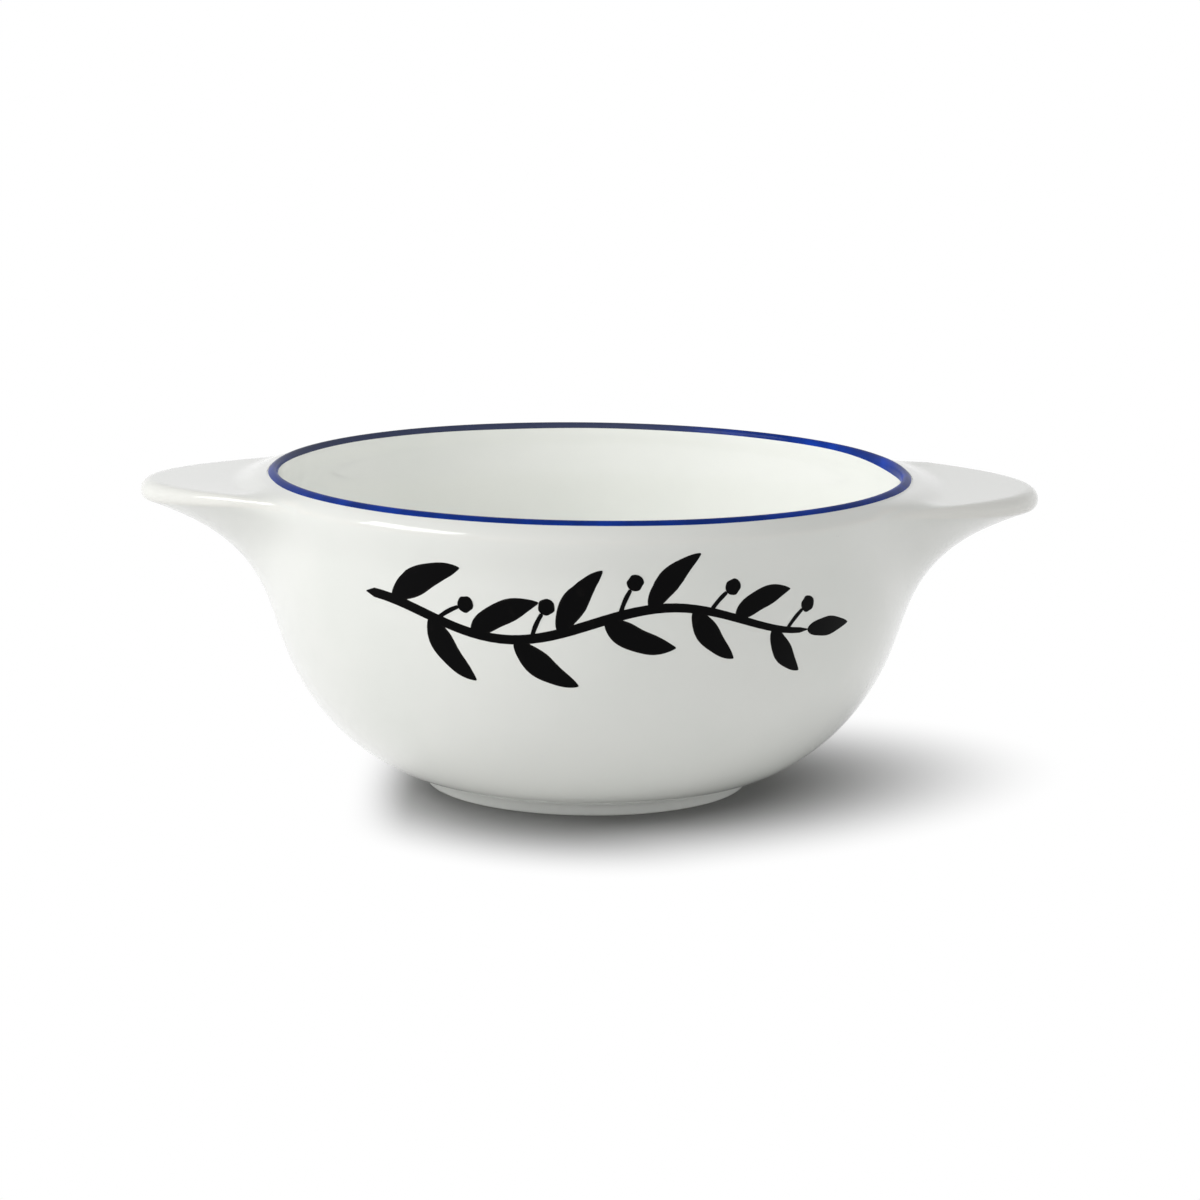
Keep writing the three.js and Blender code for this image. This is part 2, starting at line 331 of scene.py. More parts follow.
def skin_lines(angle, reach):
    """Sponged profiles, and for each stretch the row where it starts."""
    sections = profile_sections(angle, reach)
    lines = np.concatenate(list(sections.values()), 1)
    known = lengths(lines)
    even = known[:, -1:] * np.linspace(0.0, 1.0, FINE_STEPS)
    fine = sponge(at_lengths(lines, known, even), SPONGE_PASSES)
    ends = np.cumsum([section.shape[1] for section in sections.values()]) - 1
    marks = np.concatenate([np.zeros((len(angle), 1)), known[:, ends]], 1)
    first = list(ROWS).index("ear")
    inside = smooth_rise((even - marks[:, first, None]) / SOFT_MARGIN)
    inside = inside * smooth_rise((marks[:, first + 1, None] - even) / SOFT_MARGIN)
    softness = reach * inside * edge_softness(ear_share(angle))[:, None]
    fine = blend(fine, sponge(fine, SOFT_PASSES, SOFT_STEP), softness[..., None])
    wanted, starts, row = [], {}, 0
    for k, (name, count) in enumerate(ROWS.items()):
        starts[name] = row
        t = np.arange(count) / count
        wanted.append(marks[:, k, None] + (marks[:, k + 1] - marks[:, k])[:, None] * t)
        row += count
    wanted.append(marks[:, -1:])
    return at_lengths(fine, even, np.concatenate(wanted, 1)), starts


angle = np.arange(COLUMNS) * 360.0 / COLUMNS - 180.0
eared_lines, row_of = skin_lines(angle, 1.0)
plain_lines, _ = skin_lines(angle, 0.0)
print(f"{len(angle)} profiles, with an ear from row {row_of['ear']} to row {row_of['lip']}")

# %% [markdown]
# Turning the skin
# The profiles go round Z. The potter presses the ears on by eye, so the two aren't quite level. Normals
# are measured on the whole grid. Bowl and ears are then cut from it and keep those normals, where normals
# of their own would show a line at each joint.

# %% Turning the skin
LEFT_LEAN, LEFT_LIFT = -0.005, 0.0
RIGHT_LEAN, RIGHT_LIFT = 0.026, 0.2
LEAN_FADE = 8.0
LEAST_STEP = 1e-9
LEAST_NORMAL = 1e-12


def turned(lines, angle):
    """Points in space of profiles at angles: radius * cosine, radius * sine, height."""
    a = np.radians(angle)[:, None]
    return np.stack([lines[..., 0] * np.cos(a), lines[..., 0] * np.sin(a), lines[..., 1]], -1)


def set_by_eye(points):
    """Ears that lean a little: height + lean * y + lift beyond the lip."""
    x, y, z = np.moveaxis(points, -1, 0)
    held = smooth_rise((np.hypot(x, y) - LIP_RADIUS) / LEAN_FADE)
    lean = np.where(x < 0.0, LEFT_LEAN, RIGHT_LEAN)
    lift = np.where(x < 0.0, LEFT_LIFT, RIGHT_LIFT)
    return np.stack([x, y, z + held * (lean * y + lift)], -1)


def slope_along(points, axis, closed):
    """Direction of the grid along one axis. Each side's step is weighted by the other's length, so that
    uneven steps don't tilt it."""
    number = np.arange(points.shape[axis])
    if closed:
        before, after = np.roll(number, 1), np.roll(number, -1)
    else:
        before, after = np.maximum(number - 1, 0), np.minimum(number + 1, number[-1])
    back = points - np.take(points, before, axis)
    ahead = np.take(points, after, axis) - points
    near = np.linalg.norm(back, axis=-1, keepdims=True) + LEAST_STEP
    far = np.linalg.norm(ahead, axis=-1, keepdims=True) + LEAST_STEP
    return back * far / near + ahead * near / far


def grid_normals(points, rows_closed=False):
    """Normal of a grid that closes around its first axis: the cross product of its two directions, over
    its length. The least length keeps a pole, where all points meet, from dividing by 0."""
    normal = np.cross(slope_along(points, 0, True), slope_along(points, 1, rows_closed))
    return normal / (np.linalg.norm(normal, axis=-1, keepdims=True) + LEAST_NORMAL)


skin = set_by_eye(turned(eared_lines, angle))
skin_normals = grid_normals(skin)
plain = turned(plain_lines, angle)
plain_normals = grid_normals(plain)
print(f"skin reaches {np.abs(skin[..., 0]).max():.2f} mm out and {skin[..., 2].max():.2f} mm up")

# %% [markdown]
# Meshes
# One helper puts points and faces into a mesh, turns its faces smooth, gives it the measured normals and
# makes it ride on the frame's only body. A second one numbers the quads of a grid.


# %% Meshes
def grid_quads(columns, rows, columns_closed, rows_closed=False):
    """Corner numbers of the quads of a grid whose points are counted row by row within each column."""
    i = np.arange(columns if columns_closed else columns - 1)[:, None]
    j = np.arange(rows if rows_closed else rows - 1)[None, :]
    here, there = i * rows, (i + 1) % columns * rows
    above = (j + 1) % rows
    return np.stack([here + j, there + j, there + above, here + above], -1).reshape(-1, 4)


def make_piece(name, points, faces, normals, stands_for, marks=None):
    """A mesh piece from points in millimetres, faces, a normal for each point and named numbers for each
    point."""
    mesh = bpy.data.meshes.new(name)
    mesh.from_pydata((points * MM).tolist(), [], faces)
    mesh.polygons.foreach_set("use_smooth", np.ones(len(mesh.polygons), bool))
    for label, values in (marks or {}).items():
        store = mesh.attributes.new(label, "FLOAT", "POINT")
        store.data.foreach_set("value", np.asarray(values, np.float32))
    mesh.update()
    mesh.normals_split_custom_set_from_vertices(normals.tolist())
    piece = bpy.data.objects.new(name, mesh)
    bpy.context.scene.collection.objects.link(piece)
    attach(piece, "root")
    if stands_for:
        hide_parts(*stands_for)
    low, high = points.min(0), points.max(0)
    print(f"{name}: {len(points)} points, {len(faces)} faces, {np.round(high - low, 1)} mm")
    return piece


print(f"the skin's grid has {len(grid_quads(*skin.shape[:2], True))} quads")

# %% [markdown]
# Glaze: thin and thick
# Glaze runs while it is liquid. It draws thin over an edge and pools in a hollow, and the colour follows.
# How the skin bends says which of the two happens: the height of a point over the mean of its neighbours,
# along the normal, is plus on an edge and minus in a hollow. It is stored with each point, for the
# material to read.

# %% Glaze: thin and thick
BEND_REACH = 1.6


def skin_bend(points, normals):
    """How much each point stands over its neighbours in the profile, in parts of a round edge's bend."""
    ahead = np.roll(points, -1, 1) - points
    back = np.roll(points, 1, 1) - points
    near = np.linalg.norm(back, axis=-1, keepdims=True) + LEAST_STEP
    far = np.linalg.norm(ahead, axis=-1, keepdims=True) + LEAST_STEP
    curve = 2.0 * (ahead / far + back / near) / (near + far)
    bend = -np.sum(curve * normals, -1) * BEND_REACH
    bend[:, [0, -1]] = 0.0
    return np.clip(bend, -1.0, 1.0)


bend = skin_bend(skin, skin_normals)
print(f"bend from {bend.min():.2f} in hollows to {bend.max():.2f} on edges")

# %% [markdown]
# The bowl
# The bowl is the whole grid, closed with one point in the middle of the underside and one in the middle
# of the floor. Where an ear covers it, it draws back a little into the wall, so that no surface lies on
# another there.

# %% The bowl
SINK = 1.2


def sink_depth():
    """Depth that the wall draws back under an ear: roots of a cosine along it and a sine across it, so
    that the two part steeply at the ear's outline."""
    depth = np.zeros(skin.shape[:2])
    across = np.linspace(0.0, np.pi, row_of["lip"] - row_of["ear"] + 1)
    along = ear_share(angle)[:, None] ** (0.5 / EAR_TAPER)
    depth[:, row_of["ear"] : row_of["lip"] + 1] = SINK * along * np.sqrt(np.abs(np.sin(across)))
    return depth


def capped(grid, first, last):
    """The points of a grid without its first and last row, then one point for each of those rows."""
    body = grid[:, 1:-1].reshape(-1, grid.shape[-1])
    return np.concatenate([body, [first], [last]])


def make_bowl():
    """The skin, drawn back under the ears, with a fan of triangles at each end of the profile."""
    sunk = sink_depth()[..., None]
    points = np.where(sunk > 0.0, plain - plain_normals * sunk, skin)
    columns, rows = points.shape[0], points.shape[1] - 2
    quads = grid_quads(columns, rows, True).tolist()
    ring = np.arange(columns)
    after = (ring + 1) % columns
    under = np.full(columns, columns * rows)
    fans = [np.stack([under, after * rows, ring * rows], -1)]
    fans.append(np.stack([under + 1, (ring + 1) * rows - 1, (after + 1) * rows - 1], -1))
    faces = quads + np.concatenate(fans).tolist()
    normals = capped(skin_normals, [0, 0, -1], [0, 0, 1])
    marks = {"bend": capped(bend[..., None], [0], [0])[:, 0]}
    placed = capped(points, points[0, 0], points[0, -1])
    return make_piece("bowl_skin", placed, faces, normals, ["bowl_wall"], marks)


bowl = make_bowl()

# %% [markdown]
# Cutting the ears from the skin
# An ear is the stretch of the skin between the line where it leaves the wall and its root on the lip. A
# second, hidden face inside the wall closes it, so that it is a solid like the real lug of clay.


# %% Cutting the ears from the skin
def ear_block(grid, middle):
    """The rows and columns of a grid that belong to the ear about the angle in the middle."""
    first = int(round((middle - EAR_HALF_ANGLE + 180.0) * COLUMNS / 360.0))
    count = int(round(2.0 * EAR_HALF_ANGLE * COLUMNS / 360.0)) + 1
    columns = (first + np.arange(count)) % COLUMNS
    return grid[columns][:, row_of["ear"] : row_of["lip"] + 1]


def make_ear(name, middle, stands_for):
    """The ear's face from the skin, and a back that shares the face's outline and lies half way to the
    sunk wall."""
    face = ear_block(skin, middle)
    half = 0.5 * ear_block(sink_depth()[..., None], middle)
    inward = ear_block(plain_normals, middle)
    back = ear_block(plain, middle) - half * inward
    columns, rows = face.shape[:2]
    back_number = np.arange(columns * rows).reshape(columns, rows)
    inner = (columns - 2) * (rows - 2)
    back_number[1:-1, 1:-1] = columns * rows + np.arange(inner).reshape(columns - 2, rows - 2)
    quads = grid_quads(columns, rows, False)
    faces = np.concatenate([quads, back_number.ravel()[quads][:, ::-1]]).tolist()
    points = np.concatenate([face.reshape(-1, 3), back[1:-1, 1:-1].reshape(-1, 3)])
    face_normals = ear_block(skin_normals, middle).reshape(-1, 3)
    normals = np.concatenate([face_normals, -inward[1:-1, 1:-1].reshape(-1, 3)])
    face_bend = ear_block(bend[..., None], middle).ravel()
    marks = {"bend": np.concatenate([face_bend, np.zeros(inner)])}
    return make_piece(name, points, faces, normals, stands_for, marks)


right_ear = make_ear("right_ear_skin", 0.0, ["right_ear", "right_ear_slip"])
left_ear = make_ear("left_ear_skin", 180.0, ["left_ear", "left_ear_slip"])

# %% [markdown]
# The foot ring
# The bowl stands on a low ring. The potter sponges its lower edges round and wipes the glaze off the face
# that rests in the kiln. Where the ring meets the belly, the glaze fills the corner with a fillet. A
# closed profile of four arcs, turned about Z, gives all of that.

# %% The foot ring
FOOT_WIDTH = 4.6
FOOT_EDGE = 0.6
FOOT_FILLET = 1.1
FILLET_BITE = 0.06
FOOT_COLUMNS = 240
FOOT_STEPS = 72
ARC_POINTS = 24


def arc(centre, radius, start, end):
    """Points of a circle of radius and height from one direction in degrees to another."""
    a = np.radians(np.linspace(start, end, ARC_POINTS))
    return np.stack([centre[0] + radius * np.cos(a), centre[1] + radius * np.sin(a)], -1)


def foot_profile():
    """Up the outside, over a fillet into the belly, back down the inside, and across the resting face."""
    inner = FOOT_RADIUS - FOOT_WIDTH
    start = BASE_LEVEL + FILLET_BITE - FOOT_FILLET
    stretches = [
        arc([FOOT_RADIUS - FOOT_EDGE, FOOT_EDGE], FOOT_EDGE, -90.0, 0.0),
        arc([FOOT_RADIUS + FOOT_FILLET, start], FOOT_FILLET, 180.0, 90.0),
        arc([inner - FOOT_FILLET, start], FOOT_FILLET, 90.0, 0.0),
        arc([inner + FOOT_EDGE, FOOT_EDGE], FOOT_EDGE, 180.0, 270.0),
    ]
    line = np.concatenate(stretches)
    return np.concatenate([line, line[:1]])[None]


def make_foot():
    """The foot profile in even steps, turned about Z."""
    line = foot_profile()
    known = lengths(line)
    wanted = known[:, -1:] * np.arange(FOOT_STEPS) / FOOT_STEPS
    around = np.arange(FOOT_COLUMNS) * 360.0 / FOOT_COLUMNS
    ring = np.broadcast_to(at_lengths(line, known, wanted), (FOOT_COLUMNS, FOOT_STEPS, 2))
    grid = turned(ring, around)
    points, normals = grid.reshape(-1, 3), grid_normals(grid, True).reshape(-1, 3)
    faces = grid_quads(FOOT_COLUMNS, FOOT_STEPS, True, True).tolist()
    stands_for = ["foot_ring", "foot_slip"]
    return make_piece("foot_skin", points, faces, normals, stands_for)


foot = make_foot()

# %% [markdown]
# The painted line
# A banding wheel turns the bowl while a loaded brush stands still on the crest of the lip. The line it
# leaves is almost even: its two edges wander a little, and it is thickest in the middle. Where its end
# runs over its start, it is wider and reaches down the inside of the lip. A colour on the lip's own mesh
# would have steps along its edges. So the line is a thin saddle over the crest, with edges that sink into
# the glaze. Two numbers go with each point: how thick the paint is, and how much painted shade darkens
# the line round the back, where it faces away from the lamp.

# %% The painted line
LINE_OUTSIDE = 56.0
LINE_INSIDE = 49.0
LINE_SUNK = 0.10
LINE_WANDER = 0.05
LINE_WAVES = np.array([2.0, 3.0, 5.0, 8.0, 13.0])
LINE_JOIN = 8.0
JOIN_SPAN = 16.0
JOIN_DEPTH = 1.1
# Painted shade round the back of the line: where it is centred and how far it spreads.
BACK_SHADE_MIDDLE = 122.0
BACK_SHADE_SPAN = 74.0
BACK_SHADE_FADE = 36.0
EDGE_SINK = 0.01
LIP_SAMPLES = 400
LIP_STEP = 0.18
LINE_COLUMNS = 900
LINE_ROWS = 15
rng = np.random.default_rng(7)


def wander(around):
    """A smooth closed noise over an angle: sines of whole waves with random phases, smaller as they get
    shorter."""
    phase = rng.uniform(0.0, 2.0 * np.pi, len(LINE_WAVES))
    a = np.radians(around)[:, None]
    mix = np.sum(np.sin(a * LINE_WAVES + phase) / np.sqrt(LINE_WAVES), -1)
    return LINE_WANDER * mix / np.sqrt(np.sum(0.5 / LINE_WAVES))


def angle_from(around, middle):
    """Angles counted from one of them, from -180 to 180."""
    return (around - middle + 180.0) % 360.0 - 180.0


def lip_curve():
    """The lip's sponged profile from low outside to low inside, and its length at the line's edges."""
    t = np.linspace(0.0, 1.0, LIP_SAMPLES)
    line = np.concatenate([outer_lip(90.0 * t), inner_lip(90.0 * t)[1:]])[None]
    known = lengths(line)
    even = np.arange(0.0, known[0, -1], LIP_STEP)[None]
    smooth = sponge(at_lengths(line, known, even), SPONGE_PASSES)
    crest = LIP_SAMPLES - 1
    edges = [int(crest * LINE_OUTSIDE / 90.0), crest + int(crest * LINE_INSIDE / 90.0)]
    return smooth, even, known[0, edges]


def make_line():
    """Across the line v runs from -1 to 1: the face stands sqrt(1 - v^4) of the paint's thickness over
    the lip."""
    smooth, even, edges = lip_curve()
    around = np.arange(LINE_COLUMNS) * 360.0 / LINE_COLUMNS
    overlap = JOIN_DEPTH * np.exp(-((angle_from(around, LINE_JOIN) / JOIN_SPAN) ** 2))
    outside = edges[0] + wander(around)
    inside = edges[1] + wander(around) + overlap
    v = np.sin(np.linspace(-np.pi / 2.0, np.pi / 2.0, LINE_ROWS))
    place = blend(outside[:, None], inside[:, None], (v + 1.0) / 2.0)
    many = np.broadcast_to(smooth, (LINE_COLUMNS, *smooth.shape[1:]))
    known = np.broadcast_to(even, (LINE_COLUMNS, even.shape[1]))
    seat = turned(at_lengths(many, known, place), around)
    out = grid_normals(seat)
    rise = np.sqrt(1.0 - v**4)
    face = seat + out * (LINE_THICK * rise - EDGE_SINK)[:, None]
    back = (seat - out * LINE_SUNK)[:, ::-1]
    points = np.concatenate([face, back], 1).reshape(-1, 3)
    normals = np.concatenate([out, -out[:, ::-1]], 1).reshape(-1, 3)
    faces = grid_quads(LINE_COLUMNS, 2 * LINE_ROWS, True, True).tolist()
    # Painted shade: 1 round the back of the line, falling to 0 beyond its span.
    painted_back_shade = smooth_rise((BACK_SHADE_SPAN - np.abs(angle_from(around, BACK_SHADE_MIDDLE))) / BACK_SHADE_FADE)
    marks = {"thick": np.tile(rise, 2 * LINE_COLUMNS), "painted_back_shade": np.repeat(painted_back_shade, 2 * LINE_ROWS)}
    return make_piece("painted_line", points, faces, normals, ["rim_line"], marks)


painted_line = make_line()

# %% [markdown]
# The sprig's strokes
# Bowls of this kind carry free brushwork in black on the front. Here it is a plain leafy sprig, as any
# painter of pots does it: a stem in one pull of the brush, leaves that are one press each, and berries
# that are dabs. Each stroke is first drawn flat, as a middle line with a width.

# %% The sprig's strokes
SPRIG_LEVEL = 44.0
SPRIG_HALF = 45.0
SPRIG_WAVE = 3.2
SPRIG_BENDS = 1.5
STEM_WIDTH, STEM_TAPER, STEM_SWELL = 0.85, 0.2, 0.45
LEAVES = 11
LEAF_PLACES = np.linspace(-0.86, 1.0, LEAVES)
LEAF_TURN = (52.0, 60.0)
LEAF_CURL = (30.0, 42.0)
LEAF_LONGEST, LEAF_SHORTEST = 16.5, 12.0
LEAF_SPREAD = (0.94, 1.06)
LEAF_WIDTH, LEAF_TAPER, LEAF_SWELL = 0.155, 0.85, 0.8
BERRIES = 5
BERRY_SHIFT = np.array([0.03, 0.07, 0.06, 0.07, 0.07])
BERRY_TURN = (58.0, 72.0)
BERRY_LENGTH, BERRY_WIDTH, BERRY_TAPER = 3.1, 1.45, 0.5
STALK_LENGTH = (4.6, 5.6)
STALK_CURL, STALK_WIDTH, STALK_TAPER = 20.0, 0.32, 0.1
EVEN_SWELL = 1.0
BRUSH_TIP = 0.12
SHAKE, SHAKE_WAVES = 0.06, 1.7
STROKE_STEPS = 48


def stem_point(s):
    """The stem's middle line for s from -1 to 1: along is a length, up is a sine wave."""
    up = SPRIG_LEVEL + SPRIG_WAVE * np.sin(SPRIG_BENDS * np.pi * s)
    return np.stack([SPRIG_HALF * s, up], -1)


def stem_heading(s):
    """Direction of the stem in degrees, from the slope of that wave."""
    slope = SPRIG_WAVE * SPRIG_BENDS * np.pi * np.cos(SPRIG_BENDS * np.pi * s) / SPRIG_HALF
    return np.degrees(np.arctan(slope))


def pressed(start, heading, curl, length):
    """Middle lines of strokes, one row each: even steps whose heading turns steadily by the curl."""
    count = STROKE_STEPS - 1
    way = np.radians(heading[:, None] + curl[:, None] * (np.arange(count) + 0.5) / count)
    steps = np.stack([np.cos(way), np.sin(way)], -1) * (length / count)[:, None, None]
    return np.concatenate([start[:, None], start[:, None] + np.cumsum(steps, 1)], 1)


def brush_width(width, taper, swell):
    """Half width along strokes: the brush tip and width * (4u(1 - u))^taper with u = t^swell, a little
    unsteady."""
    t = np.linspace(0.0, 1.0, STROKE_STEPS)
    u = t**swell
    phase = rng.uniform(0.0, 1.0, (len(width), 1))
    shake = 1.0 + SHAKE * np.sin(2.0 * np.pi * (t * SHAKE_WAVES + phase))
    return BRUSH_TIP + width[:, None] * (4.0 * u * (1.0 - u)) ** taper * shake


def stem_stroke():
    """The stem from its thick cut end to its thin tip."""
    s = np.linspace(-1.0, 1.0, STROKE_STEPS)
    return stem_point(s)[None], brush_width(np.array([STEM_WIDTH]), STEM_TAPER, STEM_SWELL)


def leaf_strokes():
    """Leaves left and right of the stem in turn, smaller towards its tip, which has one of its own."""
    side = np.where(np.arange(LEAVES) % 2 == 0, 1.0, -1.0)
    side[-1] = 0.0
    heading = stem_heading(LEAF_PLACES) + side * rng.uniform(*LEAF_TURN, LEAVES)
    length = blend(LEAF_LONGEST, LEAF_SHORTEST, (LEAF_PLACES + 1.0) / 2.0)
    length = length * rng.uniform(*LEAF_SPREAD, LEAVES)
    curl = -side * rng.uniform(*LEAF_CURL, LEAVES)
    middle = pressed(stem_point(LEAF_PLACES), heading, curl, length)
    return middle, brush_width(length * LEAF_WIDTH, LEAF_TAPER, LEAF_SWELL)


def berry_strokes():
    """Berries on short stalks, across the stem from a leaf."""
    s = LEAF_PLACES[1 : 2 * BERRIES : 2] + BERRY_SHIFT
    heading = stem_heading(s) + rng.uniform(*BERRY_TURN, BERRIES)
    reach = rng.uniform(*STALK_LENGTH, BERRIES)
    none = np.zeros(BERRIES)
    stalk = pressed(stem_point(s), heading, none - STALK_CURL, reach)
    dab = pressed(stalk[:, -1], heading - STALK_CURL, none, none + BERRY_LENGTH)
    half_stalk = brush_width(none + STALK_WIDTH, STALK_TAPER, EVEN_SWELL)
    half_dab = brush_width(none + BERRY_WIDTH, BERRY_TAPER, EVEN_SWELL)
    return np.concatenate([stalk, dab]), np.concatenate([half_stalk, half_dab])


strokes = [stem_stroke(), leaf_strokes(), berry_strokes()]
stroke_middle = np.concatenate([middle for middle, half in strokes])
stroke_half = np.concatenate([half for middle, half in strokes])
print(f"sprig: {len(stroke_middle)} strokes, up to {2.0 * stroke_half.max():.1f} mm wide")

# %% [markdown]
# The sprig on the wall
# A texture would blur at this size, so each stroke is a thin shell. The flat drawing is wrapped around the
# wall. A stroke stands proud in its middle and its edges sink into the glaze. Later strokes lie a little
# higher, as wet paint over dry.

# %% The sprig on the wall
SPRIG_RADIUS = float(wall_radius(SPRIG_LEVEL))
STROKE_ROWS = 9
STROKE_THICK = 0.10
STROKE_SUNK = 0.12
STROKE_STACK = 0.003


def wrapped(flat):
    """Flat points on the wall, and the wall's normals there: along becomes an angle from the front's
    middle."""
    along, up = flat[..., 0], flat[..., 1]
    a = along / SPRIG_RADIUS - np.pi / 2.0
    step = 0.01
    slope = (wall_radius(up + step) - wall_radius(up - step)) / (2.0 * step)
    r = wall_radius(up)
    seat = np.stack([r * np.cos(a), r * np.sin(a), up], -1)
    out = np.stack([np.cos(a), np.sin(a), -slope], -1) / np.hypot(1.0, slope)[..., None]
    return seat, out


def stroke_faces(count):
    """Quads round each shell, and a cap at its two ends."""
    ring = 2 * STROKE_ROWS
    tube = grid_quads(STROKE_STEPS, ring, False, True)
    first = np.arange(count)[:, None] * STROKE_STEPS * ring
    quads = (first[..., None] + tube).reshape(-1, 4)
    starts = first + np.arange(ring)
    ends = (starts + (STROKE_STEPS - 1) * ring)[:, ::-1]
    return quads.tolist() + starts.tolist() + ends.tolist()


def make_sprig():
    """Across a stroke v runs from -1 to 1: the face stands sqrt(1 - v^4) of the paint's thickness over
    the glaze."""
    count = len(stroke_middle)
    ahead = np.gradient(stroke_middle, axis=1)
    ahead = ahead / np.linalg.norm(ahead, axis=-1, keepdims=True)
    left = np.stack([-ahead[..., 1], ahead[..., 0]], -1)[:, :, None]
    v = np.sin(np.linspace(-np.pi / 2.0, np.pi / 2.0, STROKE_ROWS))
    seat, out = wrapped(stroke_middle[:, :, None] + left * (stroke_half[..., None] * v)[..., None])
    rise = np.sqrt(1.0 - v**4)
    thick = STROKE_THICK + STROKE_STACK * np.arange(count)[:, None, None, None]
    face = seat + out * (thick * rise[:, None] - EDGE_SINK)
    back = (seat - out * STROKE_SUNK)[:, :, ::-1]
    points = np.concatenate([face, back], 2).reshape(-1, 3)
    normals = np.concatenate([out, -out[:, :, ::-1]], 2).reshape(-1, 3)
    marks = {"thick": np.tile(rise, 2 * count * STROKE_STEPS)}
    return make_piece("brush_sprig", points, stroke_faces(count), normals, [], marks)


sprig = make_sprig()

# %% [markdown]
# Writing shaders as formulas
# A finish is easier to read as a formula than as a list of nodes and links. One small class wraps a
# socket. Its operators add Math nodes, and one method adds any other node from its type, its settings and
# its sockets.


# %% Writing shaders as formulas
class Wire:
    """A socket of a material that can stand in a formula."""

    def __init__(self, tree, socket=None):
        self.tree = tree
        self.socket = socket

    def node(self, kind, settings, sockets, out=0):
        """Adds a node, sets it up, fills its sockets with numbers, colours or wires, and returns one
        output."""
        made = self.tree.nodes.new(kind)
        for name, value in settings.items():
            setattr(made, name, value)
        for name, value in sockets.items():
            if isinstance(value, Wire):
                self.tree.links.new(value.socket, made.inputs[name])
            else:
                made.inputs[name].default_value = value
        return Wire(self.tree, made.outputs[out] if len(made.outputs) else None)

    def maths(self, operation, a, b):
        """One Math node on two numbers or wires."""
        return self.node("ShaderNodeMath", {"operation": operation}, {0: a, 1: b})

    def __add__(self, other):
        return self.maths("ADD", self, other)

    def __sub__(self, other):
        return self.maths("SUBTRACT", self, other)

    def __mul__(self, other):
        return self.maths("MULTIPLY", self, other)

    def __rsub__(self, other):
        return self.maths("SUBTRACT", other, self)

    __radd__ = __add__
    __rmul__ = __mul__

    def rise(self, low, high):
        """0 below low, 1 above high and smooth between."""
        sockets = {"Value": self, "From Min": low, "From Max": high}
        return self.node("ShaderNodeMapRange", {"interpolation_type": "SMOOTHSTEP"}, sockets)

    def clamped(self):
        """0 below 0, 1 above 1 and the value itself between."""
        return self.node("ShaderNodeClamp", {}, {"Value": self})

    def axis(self, name):
        """One of the three numbers of a vector."""
        return self.node("ShaderNodeSeparateXYZ", {}, {"Vector": self}, name)

    def paint(self, under, over):
        """The colour under where this wire is 0, over where it is 1."""
        return self.node("ShaderNodeMix", {"data_type": "RGBA"}, {0: self, 6: under, 7: over}, 2)


print("formulas: add, subtract, multiply, rise, clamped, axis, paint")

# %% [markdown]
# What the finishes share
# Every finish starts from a point's place on the object or from a number that its mesh stores there, is
# broken up by noise, and ends in a Principled shader. Noise scales are in lumps to a metre.


# %% What the finishes share
def new_finish(name):
    """An empty material and the wire that its formula starts from."""
    material = bpy.data.materials.new(name)
    material.use_nodes = True
    material.node_tree.nodes.clear()
    return material, Wire(material.node_tree)


def place_on(start):
    """A point's place on the object, in metres."""
    return start.node("ShaderNodeTexCoord", {}, {}, "Object")


def mark_on(start, name):
    """A number that the mesh stores with its points."""
    return start.node("ShaderNodeAttribute", {"attribute_name": name}, {}, "Fac")


def noise(place, scale, detail):
    """Smooth noise of one scale, with some octaves of finer noise in it."""
    sockets = {"Vector": place, "Scale": scale, "Detail": detail}
    return place.node("ShaderNodeTexNoise", {}, sockets)


def bumped(height, strength, distance):
    """The normal of a surface that is raised by height * distance."""
    sockets = {"Height": height, "Strength": strength, "Distance": distance}
    return height.node("ShaderNodeBump", {}, sockets)


def finish_surface(start, sockets):
    """Ends a formula in a Principled shader and the material's output."""
    shader = start.node("ShaderNodeBsdfPrincipled", {}, sockets)
    start.node("ShaderNodeOutputMaterial", {}, {"Surface": shader})


# %% [markdown]
# White glaze
# The glaze is a clear, slightly green glass over white clay. Over an edge it draws thin and the clay's
# warm white shows. In a hollow it pools and looks greyer and greener. Its face is glossy but not flat: it
# ripples by some hundredths of a millimetre, and the odd pinhole or speck of iron breaks it. The white is
# a base with little gloss of its own, and a clear coat over it is the glass.

# %% White glaze
GLAZE_WHITE = (0.825, 0.835, 0.797, 1.0)
GLAZE_THIN = (0.835, 0.83, 0.785, 1.0)
GLAZE_POOL = (0.765, 0.79, 0.75, 1.0)
GLAZE_CLOUD = (0.805, 0.82, 0.78, 1.0)
IRON_SPECK = (0.42, 0.35, 0.27, 1.0)
CLOUDS = {"scale": 38.0, "detail": 3.0}
CLOUD_RISE = (0.45, 0.75)
THIN_RISE = (0.25, 0.95)
POOL_RISE = (0.15, 0.9)
SPECK_SCALE = 130.0
SPECK_RISE = (0.02, 0.06)
SPECK_CHANCE = (0.965, 0.97)
SPECK_STAIN = 0.55
SPECK_PIT = 0.4
GLAZE_RIPPLE = {"scale": 75.0, "detail": 2.0}
GLAZE_BUMP = {"strength": 0.35, "distance": 0.00012}
GLAZE_ROUGH, CLOUD_ROUGH = 0.30, 0.10
GLASS = {"IOR": 1.5, "Specular IOR Level": 0.1, "Coat Weight": 1.0, "Coat Roughness": 0.05}


